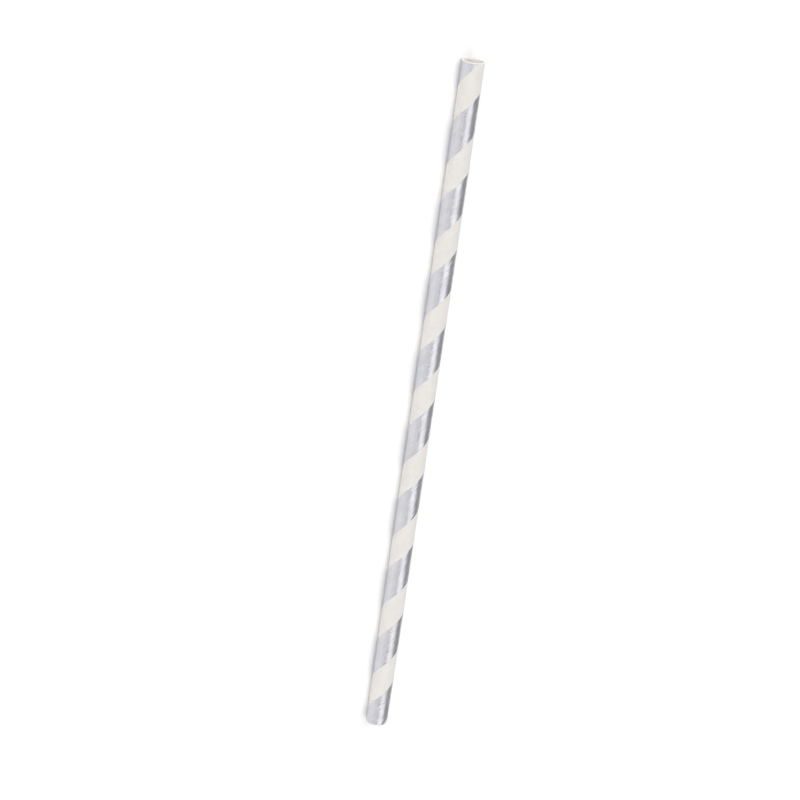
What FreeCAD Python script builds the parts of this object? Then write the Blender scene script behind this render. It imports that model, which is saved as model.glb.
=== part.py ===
import FreeCAD, Part
import Sketcher
import os

# A paper drinking straw. Webs of paper are wound one over the other round a mandrel, glued,
# and the endless tube is cut square to length. Silver foil covers part of the outer web's
# width, so that it runs up the straw as one broad right-handed stripe.
#
# The straw is drawn upright about its own Z axis, with its middle at the origin and its
# mouth at the top. A place on the winding is a height where it crosses the +X side. Last of
# all the straw is laid down, with its mouth towards +X and that side uppermost.

Vector = FreeCAD.Vector

# Driving sizes in mm, each with the words that stand beside it in the sheet.
DRIVING_SIZES = [
    ("straw_length", 197.0, "cut length"),
    ("outer_diameter", 6.2, "over the foil"),
    ("paper_wall", 0.40, "thickness of the glued webs of paper"),
    ("foil_thickness", 0.04, "thickness of the foil with its film and glue"),
    ("foil_band", 11.6, "height of the foil stripe, along the straw"),
    ("paper_band", 10.3, "height of the bare paper between its turns"),
    ("paper_below_mouth", 9.6, "from the mouth down to the stripe's upper edge"),
    ("knife_round", 0.06, "radius that the knife leaves on each cut edge"),
]

# Sizes that follow from them.
DERIVED_SIZES = [
    ("lead", "=foil_band + paper_band", "height of one turn of the winding"),
    ("half_length", "=straw_length / 2", "from the middle to either cut end"),
    ("foil_radius", "=outer_diameter / 2", "outside of the foil"),
    ("paper_radius", "=foil_radius - foil_thickness", "outside of the paper"),
    ("bore_radius", "=paper_radius - paper_wall", "inside of the paper"),
    ("foil_end", "=half_length - knife_round", "where the foil stops, short of the cut edge"),
    ("stripe_place", "=half_length - paper_below_mouth - foil_band / 2", "middle of the stripe"),
    ("turns_below", "=ceil(straw_length / lead)", "turns wound below that place"),
    ("turns_above", "=ceil((paper_below_mouth + foil_band) / lead)", "turns wound above it"),
    ("wound_from", "=stripe_place - turns_below * lead", "where the winding starts"),
    ("wound_height", "=(turns_below + turns_above) * lead", "its height, past both cut ends"),
]

doc = FreeCAD.newDocument("paper_straw")
sheet = doc.addObject("Spreadsheet::Sheet", "Sizes")
for row, (name, value, meaning) in enumerate(DRIVING_SIZES + DERIVED_SIZES, start=1):
    sheet.set(f"A{row}", meaning)
    sheet.set(f"B{row}", str(value))
    sheet.setAlias(f"B{row}", name)
doc.recompute()


def rectangle(sketch, inside, outside, bottom, top):
    """Draw a rectangle beside the axis, between two radii and two heights from the sheet."""
    corners = [Vector(1, 1, 0), Vector(2, 1, 0), Vector(2, 2, 0), Vector(1, 2, 0)]
    for i, corner in enumerate(corners):
        sketch.addGeometry(Part.LineSegment(corner, corners[(i + 1) % 4]), False)
    for i in range(4):
        sketch.addConstraint(Sketcher.Constraint("Coincident", i, 2, (i + 1) % 4, 1))
    for side, direction in enumerate(("Horizontal", "Vertical", "Horizontal", "Vertical")):
        sketch.addConstraint(Sketcher.Constraint(direction, side))
    # each measured from the sketch's origin, point 1 of its axes, to the start of a side
    for word, kind, side, size in (
        ("inside", "DistanceX", 0, inside),
        ("outside", "DistanceX", 1, outside),
        ("bottom", "DistanceY", 0, bottom),
        ("top", "DistanceY", 2, top),
    ):
        measured = Sketcher.Constraint(kind, -1, 1, side, 1, 1.0)
        sketch.renameConstraint(sketch.addConstraint(measured), word)
        sketch.setExpression(f"Constraints.{word}", size)


# The paper tube: a wall turned about the straw's axis.
paper_tube = doc.addObject("PartDesign::Body", "PaperTube")
paper_tube.Label = "paper_tube"

wall_section = paper_tube.newObject("Sketcher::SketchObject", "WallSection")
axis_plane = next(f for f in paper_tube.Origin.OriginFeatures if f.Role == "XZ_Plane")
wall_section.AttachmentSupport = [(axis_plane, "")]
wall_section.MapMode = "FlatFace"
rectangle(
    wall_section,
    "Sizes.bore_radius",
    "Sizes.paper_radius",
    "-Sizes.half_length",
    "Sizes.half_length",
)

wall = paper_tube.newObject("PartDesign::Revolution", "Wall")
wall.Profile = wall_section
wall.ReferenceAxis = (wall_section, ["V_Axis"])
wall.Angle = 360
doc.recompute()

# The knife leaves the four edges of the cut ends a little rounded.
rims = [f"Edge{i}" for i, e in enumerate(wall.Shape.Edges, 1) if isinstance(e.Curve, Part.Circle)]
knife_edges = paper_tube.newObject("PartDesign::Fillet", "KnifeEdges")
knife_edges.Base = (wall, rims)
knife_edges.setExpression("Radius", "Sizes.knife_round")

# The foil stripe: a ribbon wound on the paper from below one cut end to above the other.
winding = doc.addObject("Part::Helix", "Winding")
winding.Pitch = sheet.lead  # set before the height, which would draw far more turns without it
winding.SegmentLength = 1  # turns in each of its faces
winding.setExpression("Pitch", "Sizes.lead")
winding.setExpression("Height", "Sizes.wound_height")
winding.setExpression("Radius", "Sizes.paper_radius")
winding.setExpression("Placement.Base.z", "Sizes.wound_from")

ribbon_section = doc.addObject("Sketcher::SketchObject", "RibbonSection")
ribbon_section.Placement.Rotation = FreeCAD.Rotation(Vector(1, 0, 0), 90)
ribbon_section.setExpression("Placement.Base.z", "Sizes.wound_from")
rectangle(
    ribbon_section,
    "Sizes.paper_radius",
    "Sizes.foil_radius",
    "-Sizes.foil_band / 2",
    "Sizes.foil_band / 2",
)

ribbon = doc.addObject("Part::Sweep", "Ribbon")
ribbon.Sections = [ribbon_section]
ribbon.Spine = (winding, [])
ribbon.Solid = True
ribbon.Frenet = True

# It is cut to length with the tube, and keeps clear of the rounded edges.
kept_length = doc.addObject("Part::Cylinder", "KeptLength")
kept_length.setExpression("Radius", "Sizes.outer_diameter")
kept_length.setExpression("Height", "2 * Sizes.foil_end")
kept_length.setExpression("Placement.Base.z", "-Sizes.foil_end")

foil_stripe = doc.addObject("Part::Common", "FoilStripe")
foil_stripe.Label = "foil_stripe"
foil_stripe.Base = ribbon
foil_stripe.Tool = kept_length

# Both are laid down on the foil: Z turns to X and X to Z, and the axis lies one radius up.
PIECES = (paper_tube, foil_stripe)
for piece in PIECES:
    piece.Placement.Rotation = FreeCAD.Rotation(Vector(1, 0, 1), 180)
    piece.setExpression("Placement.Base.z", "Sizes.foil_radius")
doc.recompute()

for item in doc.Objects:
    if "Invalid" in item.State or "Error" in item.State:
        raise RuntimeError(f"{item.Label} did not compute: {item.State}")

os.makedirs("parts", exist_ok=True)
for piece in PIECES:
    shape = piece.Shape
    if shape.isNull() or not shape.isValid() or len(shape.Solids) != 1:
        raise RuntimeError(f"{piece.Label} is not one valid solid")
    shape.exportStep(f"parts/{piece.Label}.step")
    print(piece.Label, round(shape.Volume, 2), "mm3,", len(shape.Faces), "faces")
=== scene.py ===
import math

import bpy
from mathutils import Matrix, Vector, noise


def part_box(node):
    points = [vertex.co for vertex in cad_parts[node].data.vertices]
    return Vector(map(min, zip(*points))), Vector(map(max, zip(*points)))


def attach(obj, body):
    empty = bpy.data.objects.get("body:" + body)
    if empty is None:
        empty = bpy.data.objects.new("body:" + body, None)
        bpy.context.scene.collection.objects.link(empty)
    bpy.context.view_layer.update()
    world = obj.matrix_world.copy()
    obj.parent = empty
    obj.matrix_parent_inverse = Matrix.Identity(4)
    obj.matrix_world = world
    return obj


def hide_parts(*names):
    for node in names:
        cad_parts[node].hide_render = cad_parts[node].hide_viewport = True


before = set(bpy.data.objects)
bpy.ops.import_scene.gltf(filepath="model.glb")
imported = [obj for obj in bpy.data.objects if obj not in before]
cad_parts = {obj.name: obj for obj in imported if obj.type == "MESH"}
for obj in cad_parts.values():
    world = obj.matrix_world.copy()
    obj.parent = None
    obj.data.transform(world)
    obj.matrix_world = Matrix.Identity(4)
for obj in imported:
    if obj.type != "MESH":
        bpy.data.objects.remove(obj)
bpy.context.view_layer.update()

# The camera looks down on the straw from its mouth's side, so that the mouth is at the top
# of the image and shows its rim and the first millimetre of the bore.
MM = 0.001
straw_low, straw_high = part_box("paper_tube")
straw_middle = (straw_low + straw_high) / 2
CAMERA_DISTANCE = 722.3 * MM
CAMERA_LENS = 117.5
SENSOR_WIDTH = 36.0
FARTHEST_SEEN = 100.0
TOWARDS_MOUTH = math.radians(20.8)
ROUND_THE_STRAW = math.radians(45.0)
LEAN = math.radians(8.36)
# Where the straw's middle stands in the view, from the image's middle.
MIDDLE_TO_THE_RIGHT = 6.31 * MM
MIDDLE_UP = -1.8 * MM

camera = bpy.data.objects.new("camera", bpy.data.cameras.new("camera"))
bpy.context.scene.collection.objects.link(camera)
camera.data.lens = CAMERA_LENS
camera.data.sensor_width = SENSOR_WIDTH
camera.data.clip_end = FARTHEST_SEEN
backward = Vector((
    math.sin(TOWARDS_MOUTH),
    math.cos(TOWARDS_MOUTH) * math.sin(ROUND_THE_STRAW),
    math.cos(TOWARDS_MOUTH) * math.cos(ROUND_THE_STRAW),
))
mouthward = Vector((1, 0, 0))
mouthward = (mouthward - backward * mouthward.dot(backward)).normalized()
sideward = mouthward.cross(backward)
upward = math.cos(LEAN) * mouthward - math.sin(LEAN) * sideward
rightward = math.sin(LEAN) * mouthward + math.cos(LEAN) * sideward
camera_seat = straw_middle + CAMERA_DISTANCE * backward
camera_aim = straw_middle - MIDDLE_TO_THE_RIGHT * rightward - MIDDLE_UP * upward
camera_back = (camera_seat - camera_aim).normalized()
camera_right = upward.cross(camera_back).normalized()
camera_up = camera_back.cross(camera_right)
camera.matrix_world = Matrix.Translation(camera_seat) @ Matrix(
    (camera_right, camera_up, camera_back)
).transposed().to_4x4()
bpy.context.scene.camera = camera
bpy.context.scene.view_settings.view_transform = "Standard"


# The studio is a broad white floor under an even white sky. Long soft panels hang beside and
# over the straw's foot, in line with it, so that they draw long streaks in its foil. They are
# darker on the right, and in one narrow strip on the left.
def linear(hex_colour):
    """Turn an sRGB hex colour into the linear colour that a shader takes."""
    parts = [int(hex_colour[i:i + 2], 16) / 255 for i in (1, 3, 5)]
    return [p / 12.92 if p <= 0.04045 else ((p + 0.055) / 1.055) ** 2.4 for p in parts] + [1.0]


def add_node(tree, kind, inputs=None, **settings):
    """Add a node with its settings, and give each input its value or the output it takes."""
    made = tree.nodes.new(kind)
    for name, value in settings.items():
        setattr(made, name, value)
    for name, value in (inputs or {}).items():
        if isinstance(value, bpy.types.NodeSocket):
            tree.links.new(value, made.inputs[name])
        else:
            made.inputs[name].default_value = value
    return made


def set_stops(ramp, stops):
    """Give a colour ramp its stops, each a place from 0 to 1 and a colour."""
    while len(ramp.elements) > 1:
        ramp.elements.remove(ramp.elements[0])
    for number, (place, colour) in enumerate(stops):
        element = ramp.elements[0] if number == 0 else ramp.elements.new(place)
        element.position = place
        element.color = colour


# Brightness of the panels by the angle from straight up, in degrees, positive to the
# camera's right.
PANELS = [
    (-180, 0.95), (-100, 1.00), (-88, 1.02), (-78, 0.93), (-66, 1.03), (-52, 1.02),
    (-48, 0.56), (-42, 0.56), (-38, 1.06), (-28, 1.24), (-14, 1.38), (-2, 1.38), (10, 1.28),
    (20, 1.02), (25, 0.48), (36, 0.44), (60, 0.42), (85, 0.41), (100, 0.60), (120, 0.95),
]
PANEL_STRENGTH = 1.38
EVEN_SKY = 0.95
# The panels end, and the even sky starts, between these shares of the way to the mouth's side.
PANELS_END = 0.05
SKY_STARTS = 0.15
world = bpy.data.worlds.new("studio")
bpy.context.scene.world = world
world.use_nodes = True
sky = world.node_tree
sky.nodes.clear()
direction = add_node(sky, "ShaderNodeTexCoord")
towards = add_node(sky, "ShaderNodeSeparateXYZ", {0: direction.outputs["Generated"]})
rightwards = add_node(sky, "ShaderNodeMath", {
    0: towards.outputs["Y"], 1: -1.0,
}, operation="MULTIPLY")
from_upright = add_node(sky, "ShaderNodeMath", {
    0: rightwards.outputs[0], 1: towards.outputs["Z"],
}, operation="ARCTAN2")
place = add_node(sky, "ShaderNodeMapRange", {
    "Value": from_upright.outputs[0], "From Min": -math.pi, "From Max": math.pi,
})
panels = add_node(sky, "ShaderNodeValToRGB", {"Fac": place.outputs[0]})
set_stops(panels.color_ramp, [
    ((angle + 180) / 360, [level / PANEL_STRENGTH] * 3 + [1.0]) for angle, level in PANELS
])
past_panels = add_node(sky, "ShaderNodeMapRange", {
    "Value": towards.outputs["X"], "From Min": PANELS_END, "From Max": SKY_STARTS,
})
FIRST_COLOUR, SECOND_COLOUR, MIXED_COLOUR = 6, 7, 2  # the mix node's sockets for colours
whole_sky = add_node(sky, "ShaderNodeMix", {
    "Factor": past_panels.outputs[0],
    FIRST_COLOUR: panels.outputs["Color"],
    SECOND_COLOUR: [EVEN_SKY / PANEL_STRENGTH] * 3 + [1.0],
}, data_type="RGBA")
glow = add_node(sky, "ShaderNodeBackground", {
    "Color": whole_sky.outputs[MIXED_COLOUR], "Strength": PANEL_STRENGTH,
})
add_node(sky, "ShaderNodeOutputWorld", {"Surface": glow.outputs[0]})

# A soft key light, from above and from the mouth's side, shades the paper.
KEY_STRENGTH = 0.3
KEY_WIDTH = math.radians(50.0)
KEY_FROM = Vector((0.75, 0.25, 0.9))
soft_key = bpy.data.objects.new("soft_key", bpy.data.lights.new("soft_key", "SUN"))
bpy.context.scene.collection.objects.link(soft_key)
soft_key.data.energy = KEY_STRENGTH
soft_key.data.angle = KEY_WIDTH
soft_key.rotation_euler = KEY_FROM.to_track_quat("Z", "Y").to_euler()

FLOOR_HALF = 30.0  # in metres, so that the camera sees no edge
floor_mesh = bpy.data.meshes.new("floor")
floor_mesh.from_pydata(
    [(x * FLOOR_HALF, y * FLOOR_HALF, 0) for x, y in ((-1, -1), (1, -1), (1, 1), (-1, 1))],
    [],
    [(0, 1, 2, 3)],
)
floor = bpy.data.objects.new("floor", floor_mesh)
bpy.context.scene.collection.objects.link(floor)
white_card = bpy.data.materials.new("white_card")
white_card.use_nodes = True
card = white_card.node_tree
card.nodes.clear()
diffuse = add_node(card, "ShaderNodeBsdfDiffuse", {"Color": linear("#FFFFFF")})
# Seen directly, mirrored or through something clear, the card is lifted a little, so that it
# stays white out to the edges and keeps its shadow. The light that it scatters onto the
# straw isn't lifted.
LIFT = 0.07
ray = add_node(card, "ShaderNodeLightPath")
looked_at = add_node(card, "ShaderNodeMath", {
    0: ray.outputs["Is Camera Ray"], 1: ray.outputs["Is Glossy Ray"],
}, operation="ADD")
looked_through = add_node(card, "ShaderNodeMath", {
    0: looked_at.outputs[0], 1: ray.outputs["Is Transmission Ray"],
}, operation="ADD")
strength = add_node(card, "ShaderNodeMath", {
    0: looked_through.outputs[0], 1: LIFT,
}, operation="MULTIPLY")
lifted = add_node(card, "ShaderNodeEmission", {"Strength": strength.outputs[0]})
both = add_node(card, "ShaderNodeAddShader", {0: diffuse.outputs[0], 1: lifted.outputs[0]})
add_node(card, "ShaderNodeOutputMaterial", {"Surface": both.outputs[0]})
floor_mesh.materials.append(white_card)

# The tube is webs of white kraft paper, wound one over the other round a mandrel with white
# glue and cut square by a knife. The outer web's two edges meet in a fine seam, and so do
# the inner web's, which shows down the bore. Its sizes are in mm.
HALF_LENGTH = straw_high.x / MM
AXIS_HEIGHT = 3.1
PAPER_RADIUS = 3.06
BORE_RADIUS = 2.66
KNIFE_ROUND = 0.06
RIM_DOME = 0.09
RIM_RINGS = 10
# Between its fibres the rim drops by up to the nick. The two ends and the rings each differ.
FIBRE_NICK = 0.02
FIBRES_IN_A_RADIUS = 9.0
RINGS_APART = 0.7
ENDS_APART = 2.0
# One turn climbs by the lead. Each place is where a winding crosses the straw's upper side.
LEAD = 21.9
STRIPE_PLACE = 83.1
SEAM_PLACE = STRIPE_PLACE + 0.8
INNER_SEAM_PLACE = SEAM_PLACE - 14.6
COLUMNS = 120  # points in one turn
# Points whose turns fall on the same step, and whose height and radius agree to this many
# decimals of a mm, are one point.
STEPS_IN_A_TURN = COLUMNS * 8
DECIMALS = 5
SHARP_FROM = math.radians(24.0)  # edges that bend more are shaded sharp
# The rows of points across one web, from its seam to its next seam: each one's offset along
# the straw, and how far it sinks.
SEAM_DEPTH = 0.05
SEAM_REACH = 0.2
WEB_STEPS = 16
SEAM_ROWS = [
    (0.0, -SEAM_DEPTH), (0.04, -0.6 * SEAM_DEPTH), (0.09, -0.1 * SEAM_DEPTH), (SEAM_REACH, 0.0),
]
WEB_ROWS = (
    SEAM_ROWS
    + [(SEAM_REACH + (LEAD - 2 * SEAM_REACH) * i / WEB_STEPS, 0.0) for i in range(1, WEB_STEPS)]
    + [(LEAD - offset, sink) for offset, sink in reversed(SEAM_ROWS)]
)


class Shape:
    """The points and faces of a mesh, with each face's finish and its corners on the web."""

    def __init__(self):
        self.points, self.faces, self.corners, self.finishes = [], [], [], []
        self.known = {}

    def point(self, height, radius, turn):
        """Put a point at a height along the straw, a radius and a turn about its axis."""
        step = round(turn * STEPS_IN_A_TURN / math.tau) % STEPS_IN_A_TURN
        key = (round(height, DECIMALS), round(radius, DECIMALS), step)
        if key not in self.known:
            angle = math.tau * step / STEPS_IN_A_TURN
            self.known[key] = len(self.points)
            self.points.append((
                height * MM,
                -radius * math.sin(angle) * MM,
                (AXIS_HEIGHT + radius * math.cos(angle)) * MM,
            ))
        return self.known[key]

    def face(self, corners, finish=0):
        """Add a face from points and their places on the web, less those that coincide."""
        kept = []
        for number, place in corners:
            if number not in [k[0] for k in kept]:
                kept.append((number, place))
        if len(kept) > 2:
            self.faces.append([k[0] for k in kept])
            self.corners.append([k[1] for k in kept])
            self.finishes.append(finish)

    def build(self, name, materials):
        """Make the mesh and its object, shaded smooth but for its cut edges."""
        mesh = bpy.data.meshes.new(name)
        mesh.from_pydata(self.points, [], self.faces)
        web = mesh.uv_layers.new(name="web")
        places = [place for corners in self.corners for place in corners]
        web.data.foreach_set("uv", [value for place in places for value in place])
        for material in materials:
            mesh.materials.append(material)
        mesh.polygons.foreach_set("material_index", self.finishes)
        mesh.polygons.foreach_set("use_smooth", [True] * len(mesh.polygons))
        mesh.update()
        mesh.set_sharp_from_angle(angle=SHARP_FROM)
        piece = bpy.data.objects.new(name, mesh)
        bpy.context.scene.collection.objects.link(piece)
        return piece


def web_place(offset, turn):
    """Give the place on the flat web, along and across it in mm, of a point on the winding."""
    pitch = math.atan2(LEAD, math.tau * PAPER_RADIUS)
    return (
        PAPER_RADIUS * turn / math.cos(pitch) + offset * math.sin(pitch),
        offset * math.cos(pitch),
    )


def wind_wall(shape, seam_place, radius, end, facing, finish):
    """Wind a web into a wall that stops at both cut ends and faces out, 1, or in, -1."""
    lowest = math.floor((-end - seam_place) / LEAD) - 1
    highest = math.ceil((end - seam_place) / LEAD) + 1
    for wound in range(lowest * COLUMNS, highest * COLUMNS):
        turns = [math.tau * (wound + step) / COLUMNS for step in (0, 1)]
        starts = [seam_place + LEAD * turn / math.tau for turn in turns]
        if min(starts) > end or max(starts) + LEAD < -end:
            continue
        for lower, upper in zip(WEB_ROWS, WEB_ROWS[1:]):
            corners = []
            for column, (offset, sink) in ((0, lower), (1, lower), (1, upper), (0, upper)):
                height = min(max(starts[column] + offset, -end), end)
                sunk = radius if abs(height) >= end else radius + facing * sink
                number = shape.point(height, sunk, turns[column])
                corners.append((number, web_place(offset, turns[column])))
            shape.face(corners[::-1] if facing > 0 else corners, finish)


def cut_rim(shape, side, outer, inner, finish):
    """Close the cut end at the mouth, side 1, or the foot, side -1, and leave its fibres."""
    rings = []
    for ring in range(RIM_RINGS + 1):
        across_wall = 2 * ring / RIM_RINGS - 1
        drop = KNIFE_ROUND * across_wall ** 2 + RIM_DOME * across_wall ** 4
        rings.append((drop, (outer + inner) / 2 - across_wall * (outer - inner) / 2))
    for column in range(COLUMNS):
        turns = [math.tau * (column + step) / COLUMNS for step in (0, 1)]
        for number in range(RIM_RINGS):
            corners = []
            for turn, ring in ((turns[0], number), (turns[1], number),
                               (turns[1], number + 1), (turns[0], number + 1)):
                drop, radius = rings[ring]
                if 0 < ring < RIM_RINGS:
                    angle = turn % math.tau
                    where = Vector((math.cos(angle), math.sin(angle), side * ENDS_APART))
                    where = where * FIBRES_IN_A_RADIUS + Vector((0, 0, ring * RINGS_APART))
                    drop += FIBRE_NICK * abs(noise.noise(where))
                height = side * (HALF_LENGTH - drop)
                corners.append((shape.point(height, radius, turn), (radius * turn, radius)))
            shape.face(corners if side > 0 else corners[::-1], finish)


# White kraft paper, uncoated: matt, with fibres that lie along the web, a cloudy look where
# they bunched, and a fine tooth. The fibres are drawn coarser than real, so that they show.
FIBRE_LENGTH, FIBRE_WIDTH = 1.4, 0.35
CLOUD_LENGTH, CLOUD_WIDTH = 3.5, 2.2


def paper_material(name, light, dark, tooth, glow):
    """Make a paper from its light and dark tone, its tooth in mm and how much light soaks in."""
    material = bpy.data.materials.new(name)
    material.use_nodes = True
    tree = material.node_tree
    tree.nodes.clear()
    web = add_node(tree, "ShaderNodeUVMap", uv_map="web")
    fibre_place = add_node(tree, "ShaderNodeMapping", {
        "Vector": web.outputs["UV"], "Scale": (1 / FIBRE_LENGTH, 1 / FIBRE_WIDTH, 1.0),
    })
    fibres = add_node(tree, "ShaderNodeTexNoise", {
        "Vector": fibre_place.outputs[0], "Scale": 1.0, "Detail": 4.0, "Roughness": 0.6,
    })
    cloud_place = add_node(tree, "ShaderNodeMapping", {
        "Vector": web.outputs["UV"], "Scale": (1 / CLOUD_LENGTH, 1 / CLOUD_WIDTH, 1.0),
    })
    clouds = add_node(tree, "ShaderNodeTexNoise", {
        "Vector": cloud_place.outputs[0], "Scale": 1.0, "Detail": 3.0, "Roughness": 0.55,
    })
    both = add_node(tree, "ShaderNodeMath", {
        0: fibres.outputs["Fac"], 1: clouds.outputs["Fac"],
    }, operation="ADD")
    spread = add_node(tree, "ShaderNodeMapRange", {
        "Value": both.outputs[0], "From Min": 0.75, "From Max": 1.25,
    })
    tone = add_node(tree, "ShaderNodeValToRGB", {"Fac": spread.outputs[0]})
    set_stops(tone.color_ramp, [(0.0, linear(dark)), (1.0, linear(light))])
    relief = add_node(tree, "ShaderNodeBump", {
        "Height": fibres.outputs["Fac"], "Distance": tooth * MM, "Strength": 1.0,
    })
    matt = add_node(tree, "ShaderNodeBsdfPrincipled", {
        "Base Color": tone.outputs["Color"],
        "Roughness": 0.88,
        "IOR": 1.5,
        "Specular IOR Level": 0.25,
        "Subsurface Weight": glow,
        "Subsurface Radius": (1.0, 0.95, 0.9),
        "Subsurface Scale": 0.35 * MM,
        "Normal": relief.outputs["Normal"],
    })
    add_node(tree, "ShaderNodeOutputMaterial", {"Surface": matt.outputs[0]})
    return material


# The outer web is a soft off-white. Its cut edge is painted whiter than the web, a painted
# highlight that brightens the rim, besides the light that soaks in between the fibres. The
# inner web is painted a paler warm white, painted light that brightens the shaded bore, besides
# the light that soaks through the wall and glows down the bore.
white_kraft = paper_material("white_kraft_paper", "#E8E5E1", "#E1DEDA", tooth=0.02, glow=0.3)
# painted highlight: the cut edge's tone is whiter than the paper's, to brighten the rim
cut_edge_painted_light = paper_material("cut_paper_edge_painted_light", "#FDFBF8", "#F6F2ED", tooth=0.02, glow=0.6)
# painted light: the inner web's tone is paler than the outer web's, to brighten the shaded bore
inner_web_painted_light = paper_material("inner_kraft_paper_painted_light", "#FFF9F2", "#FFF4EA", tooth=0.003, glow=0.9)
OUTER_WEB, CUT_EDGE, INNER_WEB = 0, 1, 2

WALL_END = HALF_LENGTH - KNIFE_ROUND - RIM_DOME
tube_shape = Shape()
wind_wall(tube_shape, SEAM_PLACE, PAPER_RADIUS, WALL_END, 1, OUTER_WEB)
wind_wall(tube_shape, INNER_SEAM_PLACE, BORE_RADIUS, WALL_END, -1, INNER_WEB)
for side in (-1, 1):
    cut_rim(tube_shape, side, PAPER_RADIUS, BORE_RADIUS, CUT_EDGE)
paper_tube = tube_shape.build("wound_paper_tube", [white_kraft, cut_edge_painted_light, inner_web_painted_light])
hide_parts("paper_tube")
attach(paper_tube, "root")

# The silver is thin aluminium foil under a clear film, glued on both edges of the outer web.
# Where they meet they make one stripe with a hairline seam along it, in which the paper
# shows, and the knife nicks it at the cut ends.
FOIL_RADIUS = 3.1
FOIL_BAND = 11.6
FOIL_ROUND = 0.02
FOIL_ROOT = PAPER_RADIUS - 0.01  # just inside the paper, so that no light shows under it
FOIL_ROWS = 8
SEAM_GAP = 0.03
EDGE_MARGIN = 0.04  # keeps it clear of the rim's rounded edge
FOIL_END = WALL_END - EDGE_MARGIN
NICK_DEPTH = 0.15
NICKS_IN_A_RADIAN = 5.0
NICK_ROW = 3.7  # where the nicks' noise is read
UNCUT_COLUMNS = 2  # at either tip of a strip, which has no nick
FEWEST_POINTS = 5  # of two columns that still have a face between them


def wind_foil(shape, low, high):
    """Wind one foil strip, between two offsets from the stripe's middle, over the paper."""
    flat = high - low - 4 * FOIL_ROUND
    rows = [low + 2 * FOIL_ROUND + flat * i / FOIL_ROWS for i in range(FOIL_ROWS + 1)]
    rows = [low + FOIL_ROUND] + rows + [high - FOIL_ROUND]
    section = [(low, FOIL_RADIUS - FOIL_ROUND)] + [(row, FOIL_RADIUS) for row in rows]
    section += [(high, FOIL_RADIUS - FOIL_ROUND), (high, FOIL_ROOT), (low, FOIL_ROOT)]
    first = (-FOIL_END - high - STRIPE_PLACE) / LEAD * COLUMNS
    last = (FOIL_END - low - STRIPE_PLACE) / LEAD * COLUMNS
    steps = list(range(math.floor(first), math.ceil(last) + 1))
    columns = []
    for step in steps:
        turn = math.tau * step / COLUMNS
        middle = STRIPE_PLACE + LEAD * step / COLUMNS
        nick = 0.0
        if steps[0] + UNCUT_COLUMNS < step < steps[-1] - UNCUT_COLUMNS:
            where = Vector((turn * NICKS_IN_A_RADIAN, NICK_ROW, 0.0))
            nick = NICK_DEPTH * max(0.0, noise.noise(where))
        end = FOIL_END - nick
        column = []
        for offset, radius in section:
            height = min(max(middle + offset, -end), end)
            column.append((shape.point(height, radius, turn), web_place(offset, turn)))
        columns.append(column)
    for near, far in zip(columns, columns[1:]):
        if len({number for number, place in near + far}) < FEWEST_POINTS:
            continue
        for i in range(len(section)):
            j = (i + 1) % len(section)
            shape.face([near[j], far[j], far[i], near[i]])


# Aluminium foil on paper: a bright metal with a faint cold tint under the film. The paper's
# fibres print through it as short hatching along the web, which breaks up its streaks. It is
# drawn coarser and deeper than real, so that it shows from a step away.
HATCH_LENGTH, HATCH_WIDTH, HATCH_DEPTH = 1.7, 0.45, 0.14
WAVE_LENGTH, WAVE_WIDTH, WAVE_DEPTH = 4.0, 2.5, 0.06
silver_foil = bpy.data.materials.new("aluminium_foil_on_paper")
silver_foil.use_nodes = True
tree = silver_foil.node_tree
tree.nodes.clear()
web = add_node(tree, "ShaderNodeUVMap", uv_map="web")
hatch_place = add_node(tree, "ShaderNodeMapping", {
    "Vector": web.outputs["UV"], "Scale": (1 / HATCH_LENGTH, 1 / HATCH_WIDTH, 1.0),
})
hatching = add_node(tree, "ShaderNodeTexNoise", {
    "Vector": hatch_place.outputs[0], "Scale": 1.0, "Detail": 1.0, "Roughness": 0.5,
})
wave_place = add_node(tree, "ShaderNodeMapping", {
    "Vector": web.outputs["UV"], "Scale": (1 / WAVE_LENGTH, 1 / WAVE_WIDTH, 1.0),
})
waves = add_node(tree, "ShaderNodeTexNoise", {
    "Vector": wave_place.outputs[0], "Scale": 1.0, "Detail": 1.0,
})
long_relief = add_node(tree, "ShaderNodeBump", {
    "Height": waves.outputs["Fac"], "Distance": WAVE_DEPTH * MM, "Strength": 1.0,
})
relief = add_node(tree, "ShaderNodeBump", {
    "Height": hatching.outputs["Fac"], "Distance": HATCH_DEPTH * MM, "Strength": 1.0,
    "Normal": long_relief.outputs["Normal"],
})
tint = add_node(tree, "ShaderNodeValToRGB", {"Fac": waves.outputs["Fac"]})
set_stops(tint.color_ramp, [(0.3, linear("#CBCBD0")), (0.7, linear("#D3D3D8"))])
dull = add_node(tree, "ShaderNodeMapRange", {
    "Value": hatching.outputs["Fac"],
    "From Min": 0.3, "From Max": 0.7, "To Min": 0.16, "To Max": 0.26,
})
metal = add_node(tree, "ShaderNodeBsdfPrincipled", {
    "Base Color": tint.outputs["Color"],
    "Metallic": 1.0,
    "Roughness": dull.outputs[0],
    "Normal": relief.outputs["Normal"],
})
add_node(tree, "ShaderNodeOutputMaterial", {"Surface": metal.outputs[0]})

seam_offset = SEAM_PLACE - STRIPE_PLACE
foil_shape = Shape()
wind_foil(foil_shape, -FOIL_BAND / 2, seam_offset - SEAM_GAP / 2)
wind_foil(foil_shape, seam_offset + SEAM_GAP / 2, FOIL_BAND / 2)
foil_stripe = foil_shape.build("silver_foil_stripe", [silver_foil])
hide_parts("foil_stripe")
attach(foil_stripe, "root")
